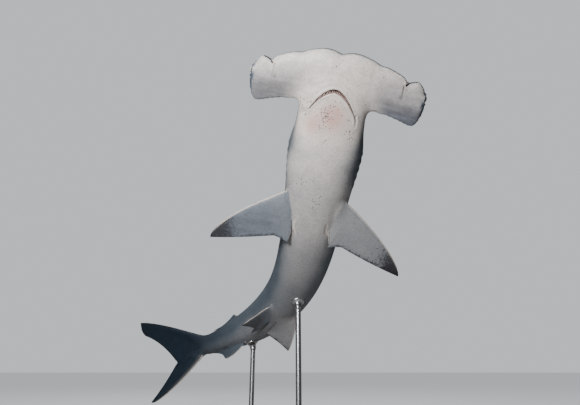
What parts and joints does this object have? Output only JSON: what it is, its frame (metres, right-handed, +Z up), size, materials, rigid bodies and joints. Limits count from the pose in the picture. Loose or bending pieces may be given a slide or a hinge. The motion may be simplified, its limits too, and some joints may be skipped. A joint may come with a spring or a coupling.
{
  "type": "hammerhead shark model",
  "caption": "Life-size scalloped hammerhead shark climbing in a turn, with a wing-shaped head, swept fins and a long tail fin, held on a flat display base by rods.",
  "frame": {"origin": "centre of the underside of the display base, on the floor", "axes": "+Z up; the shark's head is towards -Y and raised, its belly towards -Y, and its tail towards +Y and -X; +X is to the viewer's right of the pictured view"},
  "size_m": [1.5802, 1.8739, 1.2509],
  "materials": {
    "skin": "matt, slightly rough, pale below and blue-grey above",
    "fin_skin": "matt, grey with dusky tips",
    "eye": "polished dark eye",
    "stand_wood": "dark oiled wood, satin",
    "stand_steel": "brushed"
  },
  "bodies": {
    "root": {"head": "skin", "neck": "skin", "torso": "skin", "hind_body": "skin", "tail": "skin", "caudal_fin": "fin_skin", "dorsal_first": "fin_skin", "dorsal_second": "fin_skin", "anal_fin": "fin_skin", "pectoral_right": "fin_skin", "pectoral_left": "fin_skin", "pelvic_right": "fin_skin", "pelvic_left": "fin_skin", "eye_right": "eye", "eye_left": "eye", "stand_base": "stand_wood", "stand_rod_front": "stand_steel", "stand_rod_rear": "stand_steel"}
  },
  "joints": []
}
